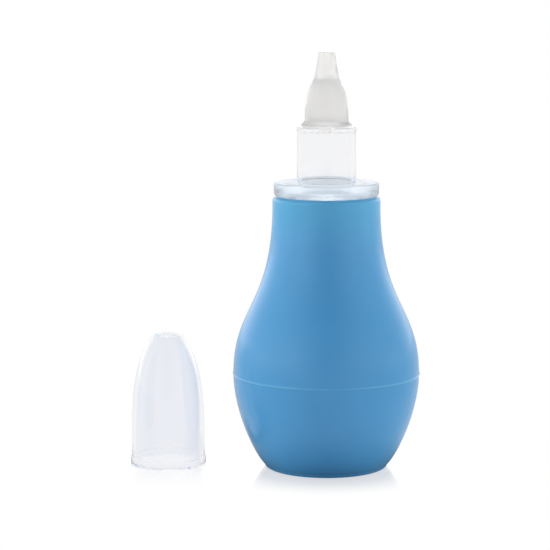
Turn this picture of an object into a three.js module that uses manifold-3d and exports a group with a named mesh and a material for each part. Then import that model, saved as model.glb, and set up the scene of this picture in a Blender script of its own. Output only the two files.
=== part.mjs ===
// Nasal aspirator for babies: a soft round squeeze bulb, a clear collar that plugs into its mouth and
// carries the collecting chamber, a soft nozzle tip over the collar's hollow stem, and a clear cap standing
// beside it.
//
// Millimetres, +Z up. The origin is the centre of the bulb's flat base, on the surface it stands on. The
// nozzle points along +Z, and the cap stands towards -X with its open end down.
import * as THREE from "three";
import { mergeVertices } from "three/addons/utils/BufferGeometryUtils.js";
import Module from "manifold-3d";

// Fit and fineness
const GAP = 0.3;
const TURN_STEPS = 48;
const SMALL_TURN_STEPS = 36;
const CURVE_STEPS = 8;
const LONG_CURVE_STEPS = 12;
const ROUND_STEPS = 3;
const MERGE_DISTANCE = 1e-4;

// Bulb
const BULB_RADIUS = 24.3;
const SEAM_Z = 24.7;
const BASE_FLAT_RADIUS = 15.35;
const BASE_EDGE = 0.9;
const NECK_RADIUS = 14;
const NECK_Z = 69.3;
const LIP_Z = 70.75;
const LIP_EDGE = 0.8;
const SHOULDER_PULL = 27;
const BELLY_PULL_UP = 17.8;
const BELLY_PULL_DOWN = 10.3;
const FOOT_PULL_OUT = 2.25;
const FOOT_PULL_UP = 1.9;
const BULB_WALL = 2.2;
const BASE_THICKNESS = 2.6;
const BASE_INNER_EDGE = 1.5;
const MOUTH_RADIUS = 10.8;
const SEAT_DEPTH = 14.4;
const SEAT_STEP = 1;

// Squeeze zones: the oval of side wall that a finger or thumb presses in
const SQUEEZE_CENTRE_Z = 27;
const SQUEEZE_HALF_WIDTH = 13;
const SQUEEZE_HALF_HEIGHT = 15;
const SQUEEZE_OVAL_STEPS = 16;
const SQUEEZE_PRISM_START = 8;
const SQUEEZE_PRISM_LENGTH = 24;

// Collar: plug skirt, flange, collecting chamber, top plate and hollow stem, moulded in one piece
const SKIRT_RADIUS = MOUTH_RADIUS - GAP;
const SKIRT_WALL = 1.3;
const SKIRT_TAPER = 0.3;
const SKIRT_TAPER_LENGTH = 2;
const SKIRT_LENGTH = 14;
const FLANGE_RADIUS = 13.65;
const FLANGE_BOTTOM_Z = LIP_Z + GAP;
const FLANGE_TOP_Z = 74.6;
const FLANGE_EDGE = 0.4;
const FLANGE_BEVEL_WIDTH = 0.45;
const FLANGE_BEVEL_HEIGHT = 0.8;
const FLANGE_BORE_SLOPE = 0.6;
const CHAMBER_BOTTOM_RADIUS = 7.68;
const CHAMBER_TOP_RADIUS = 7.52;
const CHAMBER_WALL = 1;
const CHAMBER_TOP_Z = 88.8;
const TOP_PLATE_THICKNESS = 0.9;
const TOP_PLATE_RADIUS = 7.7;
const TOP_PLATE_EDGE = 0.2;
const STEM_ROOT_RADIUS = 3.9;
const STEM_WAIST_RADIUS = 3.7;
const STEM_WAIST_Z = 94.5;
const STEM_TOP_RADIUS = 2.4;
const STEM_TOP_Z = 101;
const STEM_BORE_RADIUS = 1.2;

// Nozzle tip
const TIP_BASE_Z = CHAMBER_TOP_Z + GAP;
const TIP_FLANGE_RADIUS = 6.48;
const TIP_FLANGE_THICKNESS = 0.5;
const TIP_BODY_RADIUS = 5.63;
const TIP_BODY_Z = 90.4;
const TIP_BELL_PULL_UP_Z = 97;
const TIP_CONE_PULL_RADIUS = 4.35;
const TIP_CONE_PULL_Z = 98.9;
const TIP_CONE_RADIUS = 3.2;
const TIP_CONE_Z = 101.4;
const TIP_END_RADIUS = 2.07;
const TIP_END_Z = 108;
const TIP_END_EDGE = 0.35;
const TIP_BORE_RADIUS = 1.1;

// Cap
const CAP_CENTRE = [-41.65, 3.2];
const CAP_BEAD_RADIUS = 9.9;
const CAP_BEAD_HEIGHT = 1.9;
const CAP_SKIRT_RADIUS = 9.62;
const CAP_LOWER_PULL_RADIUS = 9.4;
const CAP_LOWER_PULL_Z = 14;
const CAP_UPPER_PULL_RADIUS = 10.1;
const CAP_UPPER_PULL_Z = 25.4;
const CAP_CROWN_RADIUS = 4.22;
const CAP_CROWN_Z = 33.8;
const CAP_APEX_Z = 34.9;
const CAP_DOME_RADIUS = 2.6;
const CAP_DOME_Z = 34.55;
const CAP_WALL = 1.05;
const CAP_CROWN_WALL = 0.6;
const CAP_EDGE = 0.4;
const CAP_MOUTH_CHAMFER = 0.5;
const CAP_CEILING_Z = 33.75;
const GATE_RADIUS = 0.7;
const GATE_HEIGHT = 0.2;

const wasm = await Module();
wasm.setup();

const materials = {
  bulb: new THREE.MeshStandardMaterial({ color: 0x5b9fd0, roughness: 0.4, metalness: 0 }),
  clear: new THREE.MeshStandardMaterial({
    color: 0xeef1f7,
    roughness: 0.12,
    metalness: 0,
    transparent: true,
    opacity: 0.4,
  }),
  tip: new THREE.MeshStandardMaterial({ color: 0xf0efea, roughness: 0.45, metalness: 0 }),
};

function point(radius, z) {
  return new THREE.Vector2(radius, z);
}

// Points of a cubic curve, without its first point, so that stretches of an outline join end to end.
function curve(start, pullStart, pullEnd, end, steps) {
  return new THREE.CubicBezierCurve(start, pullStart, pullEnd, end).getPoints(steps).slice(1);
}

// A quarter round that leaves start towards corner and arrives at end.
function round(start, corner, end) {
  return new THREE.QuadraticBezierCurve(start, corner, end).getPoints(ROUND_STEPS).slice(1);
}

// A solid of revolution about Z. The outline runs up the outside and down the inside.
function turned(outline, steps) {
  const geometry = new THREE.LatheGeometry(outline, steps);
  geometry.rotateX(Math.PI / 2);
  return geometry;
}

function toSolid(geometry) {
  const bare = geometry.clone();
  bare.deleteAttribute("normal");
  bare.deleteAttribute("uv");
  const merged = mergeVertices(bare, MERGE_DISTANCE);
  const corners = Array.from(merged.index.array);
  const kept = [];
  for (let i = 0; i < corners.length; i += 3) {
    const [a, b, c] = corners.slice(i, i + 3);
    if (a !== b && b !== c && c !== a) {
      kept.push(a, b, c);
    }
  }
  return new wasm.Manifold(
    new wasm.Mesh({
      numProp: 3,
      vertProperties: new Float32Array(merged.attributes.position.array),
      triVerts: new Uint32Array(kept),
    }),
  );
}

function toGeometry(solid) {
  const mesh = solid.getMesh();
  const geometry = new THREE.BufferGeometry();
  geometry.setAttribute("position", new THREE.BufferAttribute(mesh.vertProperties, 3));
  geometry.setIndex(new THREE.BufferAttribute(mesh.triVerts, 1));
  geometry.computeVertexNormals();
  return geometry;
}

function named(name, geometry, material) {
  const mesh = new THREE.Mesh(geometry, material);
  mesh.name = name;
  return mesh;
}

// The bulb's outside from its base to its lip. Each curve meets the belly upright, at the widest ring.
function bulbOutside(inset) {
  const neck = NECK_RADIUS - inset;
  const belly = BULB_RADIUS - inset;
  const foot = BASE_FLAT_RADIUS + BASE_EDGE - inset;
  const lower = curve(
    point(foot, BASE_EDGE),
    point(foot + FOOT_PULL_OUT, BASE_EDGE + FOOT_PULL_UP),
    point(belly, SEAM_Z - BELLY_PULL_DOWN),
    point(belly, SEAM_Z),
    CURVE_STEPS,
  );
  const upper = curve(
    point(belly, SEAM_Z),
    point(belly, SEAM_Z + BELLY_PULL_UP),
    point(neck, NECK_Z - SHOULDER_PULL),
    point(neck, NECK_Z),
    LONG_CURVE_STEPS,
  );
  return { lower, upper };
}

// The hollow one-piece bulb: the wall follows the outside, and the mouth is a straight seat for the collar.
function bulbShell() {
  const outer = bulbOutside(0);
  const inner = bulbOutside(BULB_WALL);
  const seatZ = LIP_Z - SEAT_DEPTH;
  const foot = BASE_FLAT_RADIUS + BASE_EDGE;
  const hollow = [...inner.lower, ...inner.upper].filter(
    (p) => p.y > BASE_THICKNESS + BASE_INNER_EDGE && p.y < seatZ - SEAT_STEP,
  );
  return [
    point(0, 0),
    point(BASE_FLAT_RADIUS, 0),
    ...round(point(BASE_FLAT_RADIUS, 0), point(foot, 0), point(foot, BASE_EDGE)),
    ...outer.lower,
    ...outer.upper,
    point(NECK_RADIUS, LIP_Z - LIP_EDGE),
    ...round(
      point(NECK_RADIUS, LIP_Z - LIP_EDGE),
      point(NECK_RADIUS, LIP_Z),
      point(NECK_RADIUS - LIP_EDGE, LIP_Z),
    ),
    point(MOUTH_RADIUS, LIP_Z),
    point(MOUTH_RADIUS, seatZ),
    ...hollow.reverse(),
    point(BASE_FLAT_RADIUS - BULB_WALL, BASE_THICKNESS),
    point(0, BASE_THICKNESS),
  ];
}

// An oval prism along X that reaches through one side of the bulb; side is 1 for +X and -1 for -X.
function squeezePrism(side, grow) {
  const oval = new THREE.Shape();
  oval.absellipse(0, 0, SQUEEZE_HALF_WIDTH + grow, SQUEEZE_HALF_HEIGHT + grow, 0, 2 * Math.PI, false);
  const geometry = new THREE.ExtrudeGeometry(oval, {
    depth: SQUEEZE_PRISM_LENGTH,
    bevelEnabled: false,
    curveSegments: SQUEEZE_OVAL_STEPS,
  });
  // The prism's length turns from Z to X, its width to Y and its height to Z.
  geometry.applyMatrix4(
    new THREE.Matrix4().makeBasis(
      new THREE.Vector3(0, 1, 0),
      new THREE.Vector3(0, 0, 1),
      new THREE.Vector3(1, 0, 0),
    ),
  );
  geometry.translate(SQUEEZE_PRISM_START, 0, SQUEEZE_CENTRE_Z);
  if (side < 0) {
    geometry.rotateZ(Math.PI);
  }
  return toSolid(geometry);
}

// The bulb is divided into a body and the two oval walls that travel inwards when it is squeezed.
function makeBulb() {
  const shell = toSolid(turned(bulbShell(), TURN_STEPS));
  const sides = { squeeze_wall_right: 1, squeeze_wall_left: -1 };
  let body = shell;
  const meshes = [];
  for (const [name, side] of Object.entries(sides)) {
    body = body.subtract(squeezePrism(side, GAP));
    meshes.push(named(name, toGeometry(shell.intersect(squeezePrism(side, 0))), materials.bulb));
  }
  meshes.push(named("bulb_body", toGeometry(body), materials.bulb));
  return meshes;
}

// The clear collar, open from the skirt through the chamber to the end of the stem.
function makeCollar() {
  const skirtBottom = FLANGE_BOTTOM_Z - SKIRT_LENGTH;
  const skirtEnd = SKIRT_RADIUS - SKIRT_TAPER;
  const bore = CHAMBER_BOTTOM_RADIUS - CHAMBER_WALL;
  const plateBottom = CHAMBER_TOP_Z - TOP_PLATE_THICKNESS;
  const outline = [
    point(skirtEnd - SKIRT_WALL, skirtBottom),
    point(skirtEnd, skirtBottom),
    point(SKIRT_RADIUS, skirtBottom + SKIRT_TAPER_LENGTH),
    point(SKIRT_RADIUS, FLANGE_BOTTOM_Z),
    point(FLANGE_RADIUS - FLANGE_BEVEL_WIDTH, FLANGE_BOTTOM_Z),
    point(FLANGE_RADIUS, FLANGE_BOTTOM_Z + FLANGE_BEVEL_HEIGHT),
    point(FLANGE_RADIUS, FLANGE_TOP_Z - FLANGE_EDGE),
    point(FLANGE_RADIUS - FLANGE_EDGE, FLANGE_TOP_Z),
    point(CHAMBER_BOTTOM_RADIUS, FLANGE_TOP_Z),
    point(CHAMBER_TOP_RADIUS, plateBottom - TOP_PLATE_EDGE),
    point(TOP_PLATE_RADIUS, plateBottom),
    point(TOP_PLATE_RADIUS, CHAMBER_TOP_Z - TOP_PLATE_EDGE),
    point(TOP_PLATE_RADIUS - TOP_PLATE_EDGE, CHAMBER_TOP_Z),
    point(STEM_ROOT_RADIUS, CHAMBER_TOP_Z),
    point(STEM_WAIST_RADIUS, STEM_WAIST_Z),
    point(STEM_TOP_RADIUS, STEM_TOP_Z),
    point(STEM_BORE_RADIUS, STEM_TOP_Z),
    point(STEM_BORE_RADIUS, plateBottom),
    point(CHAMBER_TOP_RADIUS - CHAMBER_WALL, plateBottom),
    point(bore, FLANGE_TOP_Z),
    point(bore, FLANGE_BOTTOM_Z + FLANGE_EDGE + FLANGE_BORE_SLOPE),
    point(SKIRT_RADIUS - SKIRT_WALL, FLANGE_BOTTOM_Z + FLANGE_EDGE),
    point(SKIRT_RADIUS - SKIRT_WALL, skirtBottom + SKIRT_TAPER_LENGTH),
    point(skirtEnd - SKIRT_WALL, skirtBottom),
  ];
  return named("collar", turned(outline, TURN_STEPS), materials.clear);
}

// The soft tip: a bell that grips the stem, drawn out into a narrow cone with a bore to its end.
function makeTip() {
  const flangeTop = TIP_BASE_Z + TIP_FLANGE_THICKNESS;
  const outline = [
    point(STEM_ROOT_RADIUS + GAP, TIP_BASE_Z),
    point(TIP_FLANGE_RADIUS, TIP_BASE_Z),
    point(TIP_FLANGE_RADIUS, flangeTop),
    point(TIP_BODY_RADIUS, TIP_BODY_Z),
    ...curve(
      point(TIP_BODY_RADIUS, TIP_BODY_Z),
      point(TIP_BODY_RADIUS, TIP_BELL_PULL_UP_Z),
      point(TIP_CONE_PULL_RADIUS, TIP_CONE_PULL_Z),
      point(TIP_CONE_RADIUS, TIP_CONE_Z),
      CURVE_STEPS,
    ),
    point(TIP_END_RADIUS, TIP_END_Z - TIP_END_EDGE),
    point(TIP_END_RADIUS - TIP_END_EDGE, TIP_END_Z),
    point(TIP_BORE_RADIUS, TIP_END_Z),
    point(TIP_BORE_RADIUS, STEM_TOP_Z + GAP),
    point(STEM_TOP_RADIUS + GAP, STEM_TOP_Z + GAP),
    point(STEM_WAIST_RADIUS + GAP, STEM_WAIST_Z + GAP),
    point(STEM_ROOT_RADIUS + GAP, TIP_BASE_Z),
  ];
  return named("nozzle_tip", turned(outline, SMALL_TURN_STEPS), materials.tip);
}

// The cap: a bell with a rolled rim, a sharp edge round its low crown and a small moulding gate at the top.
function makeCap() {
  const inside = CAP_SKIRT_RADIUS - CAP_WALL;
  const crownInside = CAP_CROWN_RADIUS - CAP_CROWN_WALL;
  const outline = [
    point(inside + CAP_MOUTH_CHAMFER, 0),
    point(CAP_BEAD_RADIUS - CAP_EDGE, 0),
    ...round(
      point(CAP_BEAD_RADIUS - CAP_EDGE, 0),
      point(CAP_BEAD_RADIUS, 0),
      point(CAP_BEAD_RADIUS, CAP_BEAD_HEIGHT / 2),
    ),
    ...round(
      point(CAP_BEAD_RADIUS, CAP_BEAD_HEIGHT / 2),
      point(CAP_BEAD_RADIUS, CAP_BEAD_HEIGHT),
      point(CAP_SKIRT_RADIUS, CAP_BEAD_HEIGHT),
    ),
    ...curve(
      point(CAP_SKIRT_RADIUS, CAP_BEAD_HEIGHT),
      point(CAP_LOWER_PULL_RADIUS, CAP_LOWER_PULL_Z),
      point(CAP_UPPER_PULL_RADIUS, CAP_UPPER_PULL_Z),
      point(CAP_CROWN_RADIUS, CAP_CROWN_Z),
      LONG_CURVE_STEPS,
    ),
    point(CAP_DOME_RADIUS, CAP_DOME_Z),
    point(GATE_RADIUS, CAP_APEX_Z),
    point(GATE_RADIUS, CAP_APEX_Z + GATE_HEIGHT),
    point(0, CAP_APEX_Z + GATE_HEIGHT),
    point(0, CAP_CEILING_Z),
    point(crownInside - CAP_EDGE, CAP_CEILING_Z),
    point(crownInside, CAP_CROWN_Z - CAP_CROWN_WALL),
    ...curve(
      point(crownInside, CAP_CROWN_Z - CAP_CROWN_WALL),
      point(CAP_UPPER_PULL_RADIUS - CAP_WALL, CAP_UPPER_PULL_Z - CAP_WALL),
      point(CAP_LOWER_PULL_RADIUS - CAP_WALL, CAP_LOWER_PULL_Z),
      point(inside, CAP_BEAD_HEIGHT),
      CURVE_STEPS,
    ),
    point(inside, CAP_MOUTH_CHAMFER),
    point(inside + CAP_MOUTH_CHAMFER, 0),
  ];
  const cap = named("cap", turned(outline, SMALL_TURN_STEPS), materials.clear);
  cap.position.set(CAP_CENTRE[0], CAP_CENTRE[1], 0);
  return cap;
}

const aspirator = new THREE.Group();
aspirator.name = "nasal_aspirator";
aspirator.add(...makeBulb(), makeCollar(), makeTip(), makeCap());

export default aspirator;
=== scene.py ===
"""A nasal aspirator: soft blue squeeze bulb, clear collar, frosted nozzle tip and a clear cap beside it."""
import math

import bmesh
import bpy
import numpy as np
from mathutils import Euler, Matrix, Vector


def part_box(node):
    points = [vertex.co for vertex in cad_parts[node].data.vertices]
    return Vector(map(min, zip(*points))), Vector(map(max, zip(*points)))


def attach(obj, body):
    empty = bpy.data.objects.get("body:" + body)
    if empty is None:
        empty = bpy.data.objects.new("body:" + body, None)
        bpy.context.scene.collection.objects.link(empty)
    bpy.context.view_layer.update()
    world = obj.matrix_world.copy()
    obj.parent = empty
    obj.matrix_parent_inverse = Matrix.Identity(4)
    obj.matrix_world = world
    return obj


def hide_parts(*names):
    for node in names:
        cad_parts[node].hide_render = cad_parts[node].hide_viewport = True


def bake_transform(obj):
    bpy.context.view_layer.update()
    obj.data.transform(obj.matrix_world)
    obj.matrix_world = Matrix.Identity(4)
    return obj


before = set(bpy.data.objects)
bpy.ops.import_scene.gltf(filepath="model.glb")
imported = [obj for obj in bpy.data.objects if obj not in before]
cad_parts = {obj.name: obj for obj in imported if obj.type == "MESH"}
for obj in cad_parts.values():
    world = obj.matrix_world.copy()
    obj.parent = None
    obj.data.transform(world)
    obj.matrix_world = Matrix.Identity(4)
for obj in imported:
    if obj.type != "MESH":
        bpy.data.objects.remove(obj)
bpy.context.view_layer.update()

MM = 0.001
GAP = 0.3 * MM  # between neighbouring pieces

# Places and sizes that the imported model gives
bulb_low, bulb_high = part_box("bulb_body")
collar_low, collar_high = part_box("collar")
tip_low, tip_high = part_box("nozzle_tip")
cap_low, cap_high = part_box("cap")

BULB_RADIUS = (bulb_high.y - bulb_low.y) / 2
LIP_Z = bulb_high.z
SKIRT_BOTTOM_Z = collar_low.z
FLANGE_RADIUS = (collar_high.x - collar_low.x) / 2
STEM_TOP_Z = collar_high.z
TIP_BASE_Z = tip_low.z
TIP_END_Z = tip_high.z
TIP_FLANGE_RADIUS = (tip_high.x - tip_low.x) / 2
CAP_CENTRE = ((cap_low.x + cap_high.x) / 2, (cap_low.y + cap_high.y) / 2)
CAP_RADIUS = (cap_high.x - cap_low.x) / 2
CAP_TOP_Z = cap_high.z

# Bulb: a pull is how far a curve's handle reaches from the end that it belongs to
SEAM_Z = 24.7 * MM
BASE_FLAT_RADIUS = 15.35 * MM
BASE_EDGE = 0.9 * MM
BASE_EDGE_PULL_OUT = 0.5 * MM
BASE_EDGE_PULL_DOWN = 0.4 * MM
BASE_EDGE_LEAN = 0.1 * MM
FOOT_RADIUS = BASE_FLAT_RADIUS + BASE_EDGE
FOOT_PULL_OUT = 2.25 * MM
FOOT_PULL_UP = 1.9 * MM
BELLY_PULL_DOWN = 10.3 * MM
BELLY_PULL_UP = 17.8 * MM
SHOULDER_PULL = 27 * MM
NECK_RADIUS = 14 * MM
NECK_Z = 69.3 * MM
LIP_EDGE = 0.8 * MM
LIP_CROWN_Z = LIP_Z + GAP + 0.01 * MM  # the crown reaches just into the flange that rests on it
LIP_CROWN_OUTER_SLOPE = 0.25 * MM
LIP_CROWN_INNER_SLOPE = 0.55 * MM
MOUTH_RADIUS = 10.8 * MM
SEAT_Z = LIP_Z - 14.4 * MM
NECK_WALL = 2.2 * MM
WELL_RADIUS = NECK_RADIUS - NECK_WALL
BASE_THICKNESS = 2.6 * MM
BULB_STEPS = 240
LOWER_STEPS = 36
UPPER_STEPS = 54
EDGE_STEPS = 6

# Parting line
SEAM_HEIGHT = 0.18 * MM
SEAM_HALF_WIDTH = 0.2 * MM
SEAM_RING_SPACING = SEAM_HALF_WIDTH / 3
SEAM_RINGS = 19
SEAM_CLEARANCE = 3.2 * SEAM_HALF_WIDTH
SEAM_WANDER = 0.05 * MM
SEAM_RIPPLE = 0.03 * MM
SEAM_JOG = 0.12 * MM
SEAM_JOG_ANGLE = math.radians(31)
SEAM_JOG_SHARPNESS = 0.02
SEAM_JOG_REACH = 0.25

# Collar
SKIRT_RADIUS = MOUTH_RADIUS - GAP
SKIRT_WALL = 1.3 * MM
SKIRT_TAPER = 0.3 * MM
SKIRT_TAPER_LENGTH = 2 * MM
FLANGE_BOTTOM_Z = LIP_Z + GAP
FLANGE_TOP_Z = 74.6 * MM
FLANGE_EDGE = 0.45 * MM
FLANGE_BEVEL_WIDTH = 0.45 * MM
FLANGE_BEVEL_HEIGHT = 0.8 * MM
BORE_CONE_BOTTOM_Z = FLANGE_BOTTOM_Z + 0.4 * MM
BORE_CONE_TOP_Z = FLANGE_BOTTOM_Z + 1 * MM
CHAMBER_BOTTOM_RADIUS = 7.68 * MM
CHAMBER_TOP_RADIUS = 7.52 * MM
CHAMBER_WALL = 1 * MM
CHAMBER_TOP_Z = TIP_BASE_Z - GAP
TOP_PLATE_THICKNESS = 0.9 * MM
TOP_PLATE_RADIUS = 7.7 * MM
TOP_PLATE_SLOPE = 0.2 * MM
STEM_ROOT_RADIUS = 3.9 * MM
STEM_WAIST_RADIUS = 3.7 * MM
STEM_WAIST_Z = 94.5 * MM
STEM_TOP_RADIUS = 2.4 * MM
STEM_BORE_RADIUS = 1.2 * MM
COLLAR_STEPS = 160

# Tip
TIP_FLANGE_THICKNESS = 0.5 * MM
TIP_BODY_RADIUS = 5.63 * MM
TIP_BODY_Z = 90.4 * MM
TIP_BELL_START_Z = TIP_BODY_Z + 0.6 * MM
TIP_BELL_PULL_Z = 97 * MM
TIP_CONE_PULL = (4.35 * MM, 98.9 * MM)
TIP_CONE = (3.2 * MM, 101.4 * MM)
TIP_END_RADIUS = 2.07 * MM
TIP_BORE_RADIUS = 1.1 * MM
TIP_STEPS = 144
TIP_BELL_STEPS = 24

# Cap
CAP_BEAD_HEIGHT = 1.9 * MM
CAP_BEAD_CORNER = 0.7 * MM
CAP_SKIRT_RADIUS = 9.62 * MM
CAP_LOWER_PULL = (9.4 * MM, 14 * MM)
CAP_UPPER_PULL = (10.1 * MM, 25.4 * MM)
CAP_CROWN = (4.22 * MM, 33.8 * MM)
CAP_DOME_Z = CAP_TOP_Z - 0.2 * MM
CAP_DOME_DROP = 0.25 * MM
CAP_DOME_SHARE = 0.6
CAP_WALL = 1.05 * MM
CAP_CROWN_WALL = 0.6 * MM
CAP_CEILING_Z = 33.75 * MM
CAP_MOUTH_CHAMFER = 0.5 * MM
GATE_RADIUS = 0.7 * MM
GATE_FOOT_SHARE = 1.3
CAP_STEPS = 160
CAP_OUTER_STEPS = 40
CAP_INNER_STEPS = 36

# Colours
BULB_BLUE_DEEP = (0.084, 0.405, 0.84, 1)
BULB_BLUE_PALE = (0.094, 0.43, 0.88, 1)
# Painted light: a lighter blue near the lip, for the light that falls on the neck through the clear flange
BULB_BLUE_PAINTED_LIP_LIGHT = (0.11, 0.52, 0.93, 1)
# Painted highlight: a lighter blue along the parting line, for the light that the ridge catches from above
BULB_BLUE_SEAM_HIGHLIGHT = (0.14, 0.54, 0.96, 1)
PAINTED_LIP_LIGHT_START_Z = 58 * MM
COLLAR_TINT = (0.955, 0.957, 0.968, 1)
CAP_TINT = (0.91, 0.92, 0.95, 1)
TIP_GREY = (0.975, 0.97, 0.955, 1)
TIP_PALE = (0.99, 0.985, 0.97, 1)

# The milky part of the collar, which has more roughness and less clearness, and a pale blue tint that is
# painted light: the blue that the bulb beneath throws up into it
MILKY_PAINTED_BULB_BLUE = (0.82, 0.9, 0.975, 1)
MILKY_ROUGHNESS = 0.1
MILKY_CLEARNESS = 0.72
MILKY_START_RADIUS = CHAMBER_BOTTOM_RADIUS - 0.7 * MM
MILKY_FULL_RADIUS = CHAMBER_BOTTOM_RADIUS - 0.2 * MM
MILKY_FULL_Z = FLANGE_TOP_Z + 0.1 * MM
MILKY_END_Z = FLANGE_TOP_Z + 0.3 * MM

# How brightly each side of the tent lights the pieces: an axis, where along it the side begins and is full,
# and the strength there
ROOM_SIDES = (
    ("Y", 0, -1, 0.59),
    ("Y", 0.3, 1, 1.5),
    ("X", 0, -1, 1.5),
    ("X", 0, 1, 1.15),
)
CEILING_SHARE = 0.45

# Table
TABLE_HALF_SIZE = 3.0
TABLE_DROP = 0.02 * MM
TABLE_ROUGHNESS = 0.035
OPEN_GREY = 0.72
# Painted shade: the table is greyer and dimmer at the feet in what it throws back on the pieces
FOOT_PAINTED_SHADE_GREY = 0.22
OPEN_GLEAM = 0.8
FOOT_PAINTED_SHADE_GLEAM = 0.15
BULB_MIRROR = 0.35
CAP_MIRROR = 0.3
MIRROR_REACH = 20 * MM

# Lamps
TOP_POWER = 0.4
SIDE_POWER = 0.6
SIDE_COLOUR = (1.0, 1.0, 0.8)
COLLAR_POWER = 3.6

# Camera: a long lens that looks slightly down
CAMERA_LENS = 130.9
CAMERA_SENSOR = 36.0
CAMERA_CLIP = 0.01
CAMERA_PLACE = (-13.25 * MM, -516 * MM, 118.8 * MM)
CAMERA_DOWN = math.radians(7.55)
CAMERA_ROLL = math.radians(0.08)

# How many times light may pass or bounce, so that the clear walls show no dark outlines
LIGHT_BOUNCES = 256
CLEAR_WALL_PASSES = 64


# ---------------------------------------------------------------- turned shapes

def cubic(start, pull_start, pull_end, end, steps):
    """Points of a cubic curve after its first one, each (radius, z, 0)."""
    t = np.linspace(0, 1, steps + 1)[1:, None]
    start, pull_start, pull_end, end = (np.array(p[:2], float) for p in (start, pull_start, pull_end, end))
    path = (
        (1 - t) ** 3 * start
        + 3 * (1 - t) ** 2 * t * pull_start
        + 3 * (1 - t) * t**2 * pull_end
        + t**3 * end
    )
    return [(r, z, 0.0) for r, z in path]


def rounded(outline, closed, steps=5):
    """The outline, of (radius, z, corner) points, with each corner that isn't 0 turned into an arc."""
    made = []
    count = len(outline)
    for i, (r, z, corner) in enumerate(outline):
        here = Vector((r, z))
        inside = closed or 0 < i < count - 1
        if not corner or not inside:
            made.append((r, z))
            continue
        before = Vector(outline[i - 1][:2]) - here
        after = Vector(outline[(i + 1) % count][:2]) - here
        half = before.angle(after) / 2
        reach = min(corner / math.tan(half), before.length * 0.49, after.length * 0.49)
        start = here + before.normalized() * reach
        end = here + after.normalized() * reach
        for step in range(steps + 1):
            t = step / steps
            point = start * (1 - t) ** 2 + here * 2 * t * (1 - t) + end * t**2
            made.append((point.x, point.y))
    return np.array(made)


def add_object(name, data):
    thing = bpy.data.objects.new(name, data)
    bpy.context.scene.collection.objects.link(thing)
    return thing


def turned(name, outline, steps, centre=(0.0, 0.0), closed=False, shape=None):
    """A solid of revolution. The outline runs up the outside and down the inside, on the axis at both ends
    unless it is closed. shape may change the rings' radii and heights, given them and each column's angle."""
    angle = np.linspace(0, 2 * math.pi, steps, endpoint=False)
    radius = np.repeat(outline[:, :1], steps, axis=1)
    height = np.repeat(outline[:, 1:], steps, axis=1)
    if shape:
        radius, height = shape(radius, height, angle[None, :])
    rings = range(len(outline)) if closed else range(1, len(outline) - 1)
    x = centre[0] + radius * np.sin(angle)
    y = centre[1] - radius * np.cos(angle)
    points = [tuple(p) for i in rings for p in zip(x[i], y[i], height[i])]
    faces = []
    count = len(rings)
    pairs = [(i, (i + 1) % count) for i in range(count if closed else count - 1)]
    for low, high in pairs:
        for j in range(steps):
            k = (j + 1) % steps
            faces.append((low * steps + j, low * steps + k, high * steps + k, high * steps + j))
    if not closed:
        bottom = len(points)
        points.append((centre[0], centre[1], float(outline[0][1])))
        points.append((centre[0], centre[1], float(outline[-1][1])))
        last = (count - 1) * steps
        for j in range(steps):
            k = (j + 1) % steps
            faces.append((bottom, k, j))
            faces.append((bottom + 1, last + j, last + k))
    mesh = bpy.data.meshes.new(name)
    mesh.from_pydata(points, [], faces)
    mesh.validate()
    mesh.shade_smooth()
    return add_object(name, mesh)


# ---------------------------------------------------------------- shader nodes

def feed(tree, socket, value):
    """Links another node's output to a socket, or sets the socket to a plain value."""
    if isinstance(value, bpy.types.NodeSocket):
        tree.links.new(value, socket)
    else:
        socket.default_value = value


def calculated(tree, operation, *values):
    """The result of a Math node. Each value is a number or another node's output."""
    maths = tree.nodes.new("ShaderNodeMath")
    maths.operation = operation
    for socket, value in zip(maths.inputs, values):
        feed(tree, socket, value)
    return maths.outputs["Value"]


def map_range(tree, value, start, end, low, high, smooth=False):
    """A value that runs from low to high while the given one runs from start to end."""
    ranged = tree.nodes.new("ShaderNodeMapRange")
    if smooth:
        ranged.interpolation_type = "SMOOTHSTEP"
    for socket, number in (("From Min", start), ("From Max", end), ("To Min", low), ("To Max", high)):
        ranged.inputs[socket].default_value = number
    tree.links.new(value, ranged.inputs["Value"])
    return ranged.outputs["Result"]


def mixed_colour(tree, factor, first, second):
    """A colour between two others, each four numbers or another node's output."""
    mix = tree.nodes.new("ShaderNodeMix")
    mix.data_type = "RGBA"
    tree.links.new(factor, mix.inputs["Factor"])
    feed(tree, mix.inputs["A"], first)
    feed(tree, mix.inputs["B"], second)
    return mix.outputs["Result"]


def mixed_shader(tree, factor, first, second):
    mix = tree.nodes.new("ShaderNodeMixShader")
    tree.links.new(factor, mix.inputs["Fac"])
    tree.links.new(first.outputs[0], mix.inputs[1])
    tree.links.new(second.outputs[0], mix.inputs[2])
    return mix


def height_in_piece(tree):
    """The height in the piece's own coordinates, which are those of the frame."""
    place = tree.nodes.new("ShaderNodeTexCoord")
    split = tree.nodes.new("ShaderNodeSeparateXYZ")
    tree.links.new(place.outputs["Object"], split.inputs["Vector"])
    return split.outputs["Z"]


def noise(tree, scale, detail=3.0, stretch=(1, 1, 1)):
    """A noise value in the piece's own coordinates. scale counts features per metre."""
    place = tree.nodes.new("ShaderNodeTexCoord")
    mapping = tree.nodes.new("ShaderNodeMapping")
    mapping.inputs["Scale"].default_value = stretch
    texture = tree.nodes.new("ShaderNodeTexNoise")
    texture.inputs["Scale"].default_value = scale
    texture.inputs["Detail"].default_value = detail
    tree.links.new(place.outputs["Object"], mapping.inputs["Vector"])
    tree.links.new(mapping.outputs["Vector"], texture.inputs["Vector"])
    return texture.outputs["Fac"]


def spread(tree, value, low, high):
    """A noise value, which seldom leaves 0.3 to 0.7, stretched to run from low to high."""
    return map_range(tree, value, 0.3, 0.7, low, high)


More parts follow.
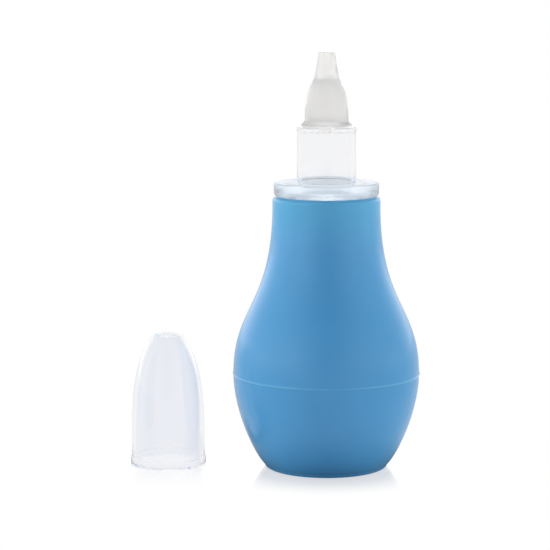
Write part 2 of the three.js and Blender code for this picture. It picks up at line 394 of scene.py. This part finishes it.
def add_bump(tree, shader, value, strength, distance):
    bump = tree.nodes.new("ShaderNodeBump")
    bump.inputs["Strength"].default_value = strength
    bump.inputs["Distance"].default_value = distance
    tree.links.new(value, bump.inputs["Height"])
    tree.links.new(bump.outputs["Normal"], shader.inputs["Normal"])


# ---------------------------------------------------------------- materials

def new_material(name, **values):
    """A material with values set on its shader's sockets, whose names are given with _ for each space."""
    material = bpy.data.materials.new(name)
    material.use_nodes = True
    shader = material.node_tree.nodes["Principled BSDF"]
    for socket, value in values.items():
        shader.inputs[socket.replace("_", " ")].default_value = value
    return material, material.node_tree, shader


def bulb_material():
    """Soft blue, a little cloudy, with painted light: lighter towards the lip, where light falls through the
    clear flange, and a painted highlight on the parting line.
    """
    material, tree, shader = new_material("satin_blue", Specular_IOR_Level=0.5, IOR=1.5)
    height = height_in_piece(tree)
    clouds = spread(tree, noise(tree, scale=55.0), low=0.0, high=1.0)
    # painted light on the neck, lighter towards the lip under the clear flange
    painted_lip_light = map_range(tree, height, PAINTED_LIP_LIGHT_START_Z, LIP_Z, 0.0, 1.0)
    # a painted highlight along the parting line
    painted_seam_highlight = calculated(tree, "COMPARE", height, SEAM_Z, SEAM_HALF_WIDTH)
    colour = mixed_colour(tree, clouds, BULB_BLUE_DEEP, BULB_BLUE_PALE)
    colour = mixed_colour(tree, painted_lip_light, colour, BULB_BLUE_PAINTED_LIP_LIGHT)
    colour = mixed_colour(tree, painted_seam_highlight, colour, BULB_BLUE_SEAM_HIGHLIGHT)
    roughness = spread(tree, noise(tree, scale=180.0), low=0.2, high=0.26)
    tree.links.new(colour, shader.inputs["Base Color"])
    tree.links.new(roughness, shader.inputs["Roughness"])
    add_bump(tree, shader, noise(tree, scale=2600.0, detail=2.0), strength=0.12, distance=0.02 * MM)
    return material


def clear_material(name, tint, smoothest, roughest):
    """Clear moulded plastic with faint flow marks along its height."""
    material, tree, shader = new_material(name, Base_Color=tint, IOR=1.49, Transmission_Weight=1.0)
    flow = noise(tree, scale=160.0, detail=2.0, stretch=(1, 1, 0.3))
    tree.links.new(spread(tree, flow, smoothest, roughest), shader.inputs["Roughness"])
    add_bump(tree, shader, flow, strength=0.15, distance=0.03 * MM)
    return material, tree, shader


def milky_zone(tree):
    """1 on the collar's flange and skirt, and 0 on the chamber, the stem and the wall of the bore."""
    place = tree.nodes.new("ShaderNodeTexCoord")
    flat = tree.nodes.new("ShaderNodeVectorMath")
    flat.operation = "MULTIPLY"
    flat.inputs[1].default_value = (1, 1, 0)
    away = tree.nodes.new("ShaderNodeVectorMath")
    away.operation = "LENGTH"
    tree.links.new(place.outputs["Object"], flat.inputs[0])
    tree.links.new(flat.outputs["Vector"], away.inputs[0])
    outside = map_range(tree, away.outputs["Value"], MILKY_START_RADIUS, MILKY_FULL_RADIUS, 0.0, 1.0)
    low_down = map_range(tree, height_in_piece(tree), MILKY_FULL_Z, MILKY_END_Z, 1.0, 0.0)
    return calculated(tree, "MULTIPLY", outside, low_down)


def collar_material():
    """Clear plastic, milky in the flange and the skirt, with a pale blue tint there that is painted light
    from the blue bulb beneath.
    """
    material, tree, shader = clear_material("clear_collar", COLLAR_TINT, smoothest=0.05, roughest=0.08)
    milky = milky_zone(tree)
    polished = shader.inputs["Roughness"].links[0].from_socket
    # painted light: the pale blue of the bulb beneath, mixed into the milky zone's colour
    tint = mixed_colour(tree, milky, COLLAR_TINT, MILKY_PAINTED_BULB_BLUE)
    roughness = calculated(tree, "MULTIPLY_ADD", milky, MILKY_ROUGHNESS, polished)
    clearness = calculated(tree, "MULTIPLY_ADD", milky, MILKY_CLEARNESS - 1, 1.0)
    tree.links.new(tint, shader.inputs["Base Color"])
    tree.links.new(roughness, shader.inputs["Roughness"])
    tree.links.new(clearness, shader.inputs["Transmission Weight"])
    return material


def tip_material():
    """Frosted silicone that lets light through and scatters it."""
    material, tree, shader = new_material(
        "frosted_silicone",
        IOR=1.33,
        Transmission_Weight=0.95,
        Subsurface_Weight=0.3,
        Subsurface_Scale=3 * MM,
    )
    clouds = spread(tree, noise(tree, scale=220.0), low=0.0, high=1.0)
    roughness = spread(tree, noise(tree, scale=500.0), low=0.34, high=0.42)
    tree.links.new(mixed_colour(tree, clouds, TIP_GREY, TIP_PALE), shader.inputs["Base Color"])
    tree.links.new(roughness, shader.inputs["Roughness"])
    add_bump(tree, shader, noise(tree, scale=4000.0, detail=2.0), strength=0.1, distance=0.02 * MM)
    return material


def cap_material():
    return clear_material("clear_cap", CAP_TINT, smoothest=0.02, roughest=0.035)[0]


def finish_piece(piece, material):
    piece.data.materials.append(material)


# ---------------------------------------------------------------- bulb

def bulb_side():
    """The bulb's side from the foot to the neck. Its two curves meet upright at the parting line, which has
    close rings of its own, enough for the ridge."""
    lower = cubic(
        (FOOT_RADIUS, BASE_EDGE),
        (FOOT_RADIUS + FOOT_PULL_OUT, BASE_EDGE + FOOT_PULL_UP),
        (BULB_RADIUS, SEAM_Z - BELLY_PULL_DOWN),
        (BULB_RADIUS, SEAM_Z),
        LOWER_STEPS,
    )
    upper = cubic(
        (BULB_RADIUS, SEAM_Z),
        (BULB_RADIUS, SEAM_Z + BELLY_PULL_UP),
        (NECK_RADIUS, NECK_Z - SHOULDER_PULL),
        (NECK_RADIUS, NECK_Z),
        UPPER_STEPS,
    )
    middle = SEAM_RINGS // 2
    seam = [(BULB_RADIUS, SEAM_Z + ring * SEAM_RING_SPACING, 0.0) for ring in range(-middle, middle + 1)]
    return [
        *(point for point in lower if point[1] < SEAM_Z - SEAM_CLEARANCE),
        *seam,
        *(point for point in upper if point[1] > SEAM_Z + SEAM_CLEARANCE),
    ]


def bulb_outline():
    """Up the bulb's outside, over the lip and down the inside of the mouth and the well."""
    base_edge = cubic(
        (BASE_FLAT_RADIUS, 0),
        (BASE_FLAT_RADIUS + BASE_EDGE_PULL_OUT, 0),
        (FOOT_RADIUS - BASE_EDGE_LEAN, BASE_EDGE - BASE_EDGE_PULL_DOWN),
        (FOOT_RADIUS, BASE_EDGE),
        EDGE_STEPS,
    )
    lip_edge = cubic(
        (NECK_RADIUS, LIP_Z - LIP_EDGE),
        (NECK_RADIUS, LIP_Z - LIP_EDGE / 3),
        (NECK_RADIUS - LIP_EDGE / 3, LIP_Z),
        (NECK_RADIUS - LIP_EDGE, LIP_Z),
        EDGE_STEPS,
    )
    outline = [
        (0, 0, 0),
        (BASE_FLAT_RADIUS / 2, 0, 0),
        (BASE_FLAT_RADIUS, 0, 0),
        *base_edge,
        *bulb_side(),
        (NECK_RADIUS, LIP_Z - LIP_EDGE, 0),
        *lip_edge,
        (NECK_RADIUS - LIP_EDGE - LIP_CROWN_OUTER_SLOPE, LIP_CROWN_Z, 0.1 * MM),
        (MOUTH_RADIUS + LIP_CROWN_INNER_SLOPE, LIP_CROWN_Z, 0.1 * MM),
        (MOUTH_RADIUS, LIP_Z, 0.3 * MM),
        (MOUTH_RADIUS, SEAT_Z + 1 * MM, 0),
        (MOUTH_RADIUS, SEAT_Z, 0.2 * MM),
        (WELL_RADIUS, SEAT_Z, 0),
        (WELL_RADIUS, BASE_THICKNESS, 0.8 * MM),
        (0, BASE_THICKNESS, 0),
    ]
    return rounded(outline, closed=False)


def add_seam(radius, height, angle):
    """The parting line: a thin raised ridge, a little uneven, with a small jog at the right of the front."""
    from_jog = angle - SEAM_JOG_ANGLE
    jog = np.tanh(from_jog / SEAM_JOG_SHARPNESS) * np.exp(-((from_jog / SEAM_JOG_REACH) ** 2))
    wander = SEAM_WANDER * np.sin(3 * angle + 0.6) + SEAM_RIPPLE * np.sin(7 * angle) + SEAM_JOG * jog
    swell = 1 + 0.25 * np.sin(5 * angle + 1.1) + 0.15 * np.sin(17 * angle)
    across = (height - SEAM_Z - wander) / SEAM_HALF_WIDTH
    on_belly = radius > BULB_RADIUS - NECK_WALL / 2
    return radius + on_belly * SEAM_HEIGHT * swell * np.exp(-(across**2)), height


def half_of(whole, name, side):
    """The bulb on one side of its middle plane, as a closed solid that keeps the whole bulb's shading."""
    source = whole.data
    whole_normal = source.attributes.new("whole_normal", "FLOAT_VECTOR", "POINT")
    whole_normal.data.foreach_set("vector", np.array([v.normal for v in source.vertices]).ravel())
    cut = bmesh.new()
    cut.from_mesh(source)
    source.attributes.remove(whole_normal)
    beyond = [face for face in cut.faces if face.calc_center_median().x * side < 0]
    bmesh.ops.delete(cut, geom=beyond, context="FACES")
    rim = [edge for edge in cut.edges if edge.is_boundary]
    bmesh.ops.contextual_create(cut, geom=rim)
    bmesh.ops.recalc_face_normals(cut, faces=cut.faces)
    mesh = bpy.data.meshes.new(name)
    cut.to_mesh(mesh)
    cut.free()
    whole_normal = mesh.attributes["whole_normal"]
    normals = [tuple(whole_normal.data[loop.vertex_index].vector) for loop in mesh.loops]
    section = max(mesh.polygons, key=lambda face: face.loop_total)
    for loop in section.loop_indices:
        normals[loop] = tuple(section.normal)
    mesh.attributes.remove(whole_normal)
    mesh.normals_split_custom_set(normals)
    return add_object(name, mesh)


def make_bulb():
    """The bulb in two halves that meet at the middle plane.
    Inside, it has a straight well in place of the hollow, so that a pressed-in side stays outside that."""
    whole = turned("bulb_whole", bulb_outline(), BULB_STEPS, shape=add_seam)
    material = bulb_material()
    for name, side in (("right", 1), ("left", -1)):
        half = half_of(whole, "bulb_" + name, side)
        finish_piece(half, material)
        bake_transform(half)
        if side > 0:
            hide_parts("bulb_body", "squeeze_wall_right")
        else:
            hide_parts("squeeze_wall_left")
    bpy.data.objects.remove(whole)


# ---------------------------------------------------------------- collar, tip and cap

def make_collar():
    bore = CHAMBER_BOTTOM_RADIUS - CHAMBER_WALL
    skirt_end = SKIRT_RADIUS - SKIRT_TAPER
    taper_top = SKIRT_BOTTOM_Z + SKIRT_TAPER_LENGTH
    plate_bottom = CHAMBER_TOP_Z - TOP_PLATE_THICKNESS
    outline = [
        (skirt_end - SKIRT_WALL, SKIRT_BOTTOM_Z, 0.3 * MM),
        (skirt_end, SKIRT_BOTTOM_Z, 0.3 * MM),
        (SKIRT_RADIUS, taper_top, 0.5 * MM),
        (SKIRT_RADIUS, FLANGE_BOTTOM_Z, 0.1 * MM),
        (FLANGE_RADIUS - FLANGE_BEVEL_WIDTH, FLANGE_BOTTOM_Z, 0.15 * MM),
        (FLANGE_RADIUS, FLANGE_BOTTOM_Z + FLANGE_BEVEL_HEIGHT, 0.3 * MM),
        (FLANGE_RADIUS, FLANGE_TOP_Z, FLANGE_EDGE),
        (CHAMBER_BOTTOM_RADIUS, FLANGE_TOP_Z, 0.25 * MM),
        (CHAMBER_TOP_RADIUS, plate_bottom - TOP_PLATE_SLOPE, 0.1 * MM),
        (TOP_PLATE_RADIUS, plate_bottom, 0.15 * MM),
        (TOP_PLATE_RADIUS, CHAMBER_TOP_Z, 0.25 * MM),
        (STEM_ROOT_RADIUS, CHAMBER_TOP_Z, 0.25 * MM),
        (STEM_WAIST_RADIUS, STEM_WAIST_Z, 0.8 * MM),
        (STEM_TOP_RADIUS, STEM_TOP_Z, 0.25 * MM),
        (STEM_BORE_RADIUS, STEM_TOP_Z, 0.15 * MM),
        (STEM_BORE_RADIUS, plate_bottom, 0.2 * MM),
        (CHAMBER_TOP_RADIUS - CHAMBER_WALL, plate_bottom, 0.4 * MM),
        (bore, FLANGE_TOP_Z, 0.2 * MM),
        (bore, BORE_CONE_TOP_Z, 0.2 * MM),
        (SKIRT_RADIUS - SKIRT_WALL, BORE_CONE_BOTTOM_Z, 0.2 * MM),
        (SKIRT_RADIUS - SKIRT_WALL, taper_top, 0.5 * MM),
    ]
    collar = turned("collar_clear", rounded(outline, closed=True), COLLAR_STEPS, closed=True)
    finish_piece(collar, collar_material())
    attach(collar, "collar")
    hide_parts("collar")
    return collar


def make_tip():
    bell = cubic(
        (TIP_BODY_RADIUS, TIP_BELL_START_Z),
        (TIP_BODY_RADIUS, TIP_BELL_PULL_Z),
        TIP_CONE_PULL,
        TIP_CONE,
        TIP_BELL_STEPS,
    )
    outline = [
        (STEM_ROOT_RADIUS + GAP, TIP_BASE_Z, 0.1 * MM),
        (TIP_FLANGE_RADIUS, TIP_BASE_Z, 0.15 * MM),
        (TIP_FLANGE_RADIUS, TIP_BASE_Z + TIP_FLANGE_THICKNESS, 0.2 * MM),
        (TIP_BODY_RADIUS, TIP_BODY_Z, 0.5 * MM),
        *bell,
        (TIP_END_RADIUS, TIP_END_Z, 0.35 * MM),
        (TIP_BORE_RADIUS, TIP_END_Z, 0.2 * MM),
        (TIP_BORE_RADIUS, STEM_TOP_Z + GAP, 0.1 * MM),
        (STEM_TOP_RADIUS + GAP, STEM_TOP_Z + GAP, 0.2 * MM),
        (STEM_WAIST_RADIUS + GAP, STEM_WAIST_Z + GAP, 0.8 * MM),
    ]
    tip = turned("nozzle_tip_soft", rounded(outline, closed=True), TIP_STEPS, closed=True)
    finish_piece(tip, tip_material())
    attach(tip, "tip")
    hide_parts("nozzle_tip")


def make_cap():
    inside = CAP_SKIRT_RADIUS - CAP_WALL
    crown_inside = (CAP_CROWN[0] - CAP_CROWN_WALL, CAP_CROWN[1] - CAP_CROWN_WALL)
    outer = cubic(
        (CAP_SKIRT_RADIUS, CAP_BEAD_HEIGHT),
        CAP_LOWER_PULL,
        CAP_UPPER_PULL,
        CAP_CROWN,
        CAP_OUTER_STEPS,
    )
    inner = cubic(
        crown_inside,
        (CAP_UPPER_PULL[0] - CAP_WALL, CAP_UPPER_PULL[1] - CAP_WALL),
        (CAP_LOWER_PULL[0] - CAP_WALL, CAP_LOWER_PULL[1]),
        (inside, CAP_BEAD_HEIGHT),
        CAP_INNER_STEPS,
    )
    outline = [
        (0, CAP_CEILING_Z, 0),
        (crown_inside[0] - 0.3 * MM, CAP_CEILING_Z, 0.3 * MM),
        *inner,
        (inside, CAP_MOUTH_CHAMFER, 0.15 * MM),
        (inside + CAP_MOUTH_CHAMFER, 0, 0.15 * MM),
        (CAP_RADIUS, 0, CAP_BEAD_CORNER),
        (CAP_RADIUS, CAP_BEAD_HEIGHT, CAP_BEAD_CORNER),
        (CAP_SKIRT_RADIUS, CAP_BEAD_HEIGHT + 0.1 * MM, 0.15 * MM),
        *outer[1:-1],
        (*CAP_CROWN, 0.2 * MM),
        (CAP_CROWN[0] * CAP_DOME_SHARE, CAP_DOME_Z - CAP_DOME_DROP, 0),
        (GATE_RADIUS * GATE_FOOT_SHARE, CAP_DOME_Z, 0.1 * MM),
        (GATE_RADIUS, CAP_TOP_Z, 0.1 * MM),
        (0, CAP_TOP_Z, 0),
    ]
    cap = turned("cap_clear", rounded(outline, closed=False), CAP_STEPS, centre=CAP_CENTRE)
    finish_piece(cap, cap_material())
    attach(cap, "cap")
    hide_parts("cap")


# ---------------------------------------------------------------- studio

def ways_seen(tree):
    """Two masks: 1 for what is seen straight on or through clear plastic, and 1 for what a glossy surface
    mirrors. Both are 0 for light on its way to a matt surface."""
    path = tree.nodes.new("ShaderNodeLightPath")
    direct = calculated(tree, "MAXIMUM", path.outputs["Is Camera Ray"], path.outputs["Transmission Depth"])
    direct.node.use_clamp = True
    return direct, path.outputs["Is Glossy Ray"]


def room_strength(tree):
    """How brightly the tent lights the pieces from each direction."""
    place = tree.nodes.new("ShaderNodeTexCoord")
    split = tree.nodes.new("ShaderNodeSeparateXYZ")
    tree.links.new(place.outputs["Generated"], split.inputs["Vector"])
    first, *others = (
        map_range(tree, split.outputs[axis], start, end, 0.0, strength, smooth=True)
        for axis, start, end, strength in ROOM_SIDES
    )
    total = first
    for side in others:
        total = calculated(tree, "ADD", total, side)
    ceiling = map_range(tree, split.outputs["Z"], 0.0, 1.0, 1.0, CEILING_SHARE)
    return calculated(tree, "MULTIPLY", total, ceiling)


def make_world():
    """A white light tent. It is plain white where it is seen directly, and lights the pieces differently
    from each side."""
    world = bpy.data.worlds.new("studio")
    bpy.context.scene.world = world
    world.use_nodes = True
    tree = world.node_tree
    tree.nodes.clear()
    room = tree.nodes.new("ShaderNodeBackground")
    tree.links.new(room_strength(tree), room.inputs["Strength"])
    white = tree.nodes.new("ShaderNodeBackground")
    white.inputs["Color"].default_value = (1, 1, 1, 1)
    out = tree.nodes.new("ShaderNodeOutputWorld")
    direct = ways_seen(tree)[0]
    tree.links.new(mixed_shader(tree, direct, room, white).outputs["Shader"], out.inputs["Surface"])


def fade_from(tree, centre, radius, strength):
    """A value that is strength up to a radius round a point of the table, and fades to 0 beyond it."""
    place = tree.nodes.new("ShaderNodeNewGeometry")
    away = tree.nodes.new("ShaderNodeVectorMath")
    away.operation = "DISTANCE"
    away.inputs[1].default_value = (*centre, 0)
    tree.links.new(place.outputs["Position"], away.inputs[0])
    return map_range(tree, away.outputs["Value"], radius, radius + MIRROR_REACH, strength, 0.0, smooth=True)


def table_material():
    """Plain white where it is seen directly, with a faint mirror image near the feet of the bulb and the cap.
    What it throws back on the pieces is greyer and dimmer at the feet than on the open table, as painted
    shade."""
    material = bpy.data.materials.new("table_white")
    material.use_nodes = True
    tree = material.node_tree
    tree.nodes.clear()
    by_bulb = fade_from(tree, (0.0, 0.0), BASE_FLAT_RADIUS, BULB_MIRROR)
    by_cap = fade_from(tree, CAP_CENTRE, CAP_RADIUS, CAP_MIRROR)
    near = calculated(tree, "MAXIMUM", by_bulb, by_cap)
    white = tree.nodes.new("ShaderNodeEmission")
    mirror = tree.nodes.new("ShaderNodeBsdfGlossy")
    mirror.inputs["Color"].default_value = (1, 1, 1, 1)
    mirror.inputs["Roughness"].default_value = TABLE_ROUGHNESS
    matt = tree.nodes.new("ShaderNodeBsdfDiffuse")
    # painted shade: the matt table turns greyer, and its gleam dimmer, near the feet
    tree.links.new(map_range(tree, near, 0.0, BULB_MIRROR, OPEN_GREY, FOOT_PAINTED_SHADE_GREY), matt.inputs["Color"])
    gleam = tree.nodes.new("ShaderNodeEmission")
    tree.links.new(map_range(tree, near, 0.0, BULB_MIRROR, OPEN_GLEAM, FOOT_PAINTED_SHADE_GLEAM), gleam.inputs["Strength"])
    out = tree.nodes.new("ShaderNodeOutputMaterial")
    direct, mirrored = ways_seen(tree)
    visible = mixed_shader(tree, near, white, mirror)
    lighting = mixed_shader(tree, mirrored, matt, gleam)
    tree.links.new(mixed_shader(tree, direct, lighting, visible).outputs["Shader"], out.inputs["Surface"])
    return material


def make_table():
    size = TABLE_HALF_SIZE
    corners = [(-size, -size, 0), (size, -size, 0), (size, size, 0), (-size, size, 0)]
    mesh = bpy.data.meshes.new("table")
    mesh.from_pydata(corners, [], [(0, 1, 2, 3)])
    mesh.materials.append(table_material())
    table = add_object("table", mesh)
    table.location.z = -TABLE_DROP


def add_softbox(name, place, aim, size, power, matt_only=False):
    """A rectangular lamp. With matt_only, it isn't mirrored and doesn't shine through clear plastic."""
    light = bpy.data.lights.new(name, "AREA")
    light.shape = "RECTANGLE"
    light.size, light.size_y = size
    light.energy = power
    lamp = add_object(name, light)
    lamp.location = place
    lamp.rotation_euler = (Vector(aim) - Vector(place)).to_track_quat("-Z", "Y").to_euler()
    lamp.visible_camera = False
    lamp.visible_glossy = not matt_only
    lamp.visible_transmission = not matt_only
    return lamp


def make_lights(collar):
    """A box overhead, a low one at either side that lights matt surfaces only, and one in front that lights
    the collar alone."""
    add_softbox("top_box", place=(0, 0.03, 0.6), aim=(0, 0, 0.05), size=(0.26, 0.16), power=TOP_POWER)
    for name, side in (("left_box", -1), ("right_box", 1)):
        side_box = add_softbox(
            name,
            place=(side * 0.5, -0.03, 0.06),
            aim=(0, 0, 0.02),
            size=(0.2, 0.1),
            power=SIDE_POWER,
            matt_only=True,
        )
        side_box.data.color = SIDE_COLOUR
    collar_box = add_softbox(
        "collar_box",
        place=(0, -0.35, 0.4),
        aim=(0, 0, FLANGE_TOP_Z),
        size=(0.3, 0.2),
        power=COLLAR_POWER,
        matt_only=True,
    )
    collar_box.light_linking.receiver_collection = bpy.data.collections.new("collar_lit")
    collar_box.light_linking.receiver_collection.objects.link(collar)


def make_camera():
    camera = add_object("camera", bpy.data.cameras.new("camera"))
    camera.data.lens = CAMERA_LENS
    camera.data.sensor_width = CAMERA_SENSOR
    camera.data.clip_start = CAMERA_CLIP
    camera.location = CAMERA_PLACE
    camera.rotation_euler = Euler((math.radians(90) - CAMERA_DOWN, CAMERA_ROLL, 0))
    bpy.context.scene.camera = camera


bpy.context.scene.view_settings.view_transform = "Standard"
light_paths = bpy.context.scene.cycles
light_paths.max_bounces = LIGHT_BOUNCES
light_paths.glossy_bounces = LIGHT_BOUNCES
light_paths.transmission_bounces = CLEAR_WALL_PASSES
make_camera()
make_world()
make_table()
make_bulb()
make_lights(make_collar())
make_tip()
make_cap()
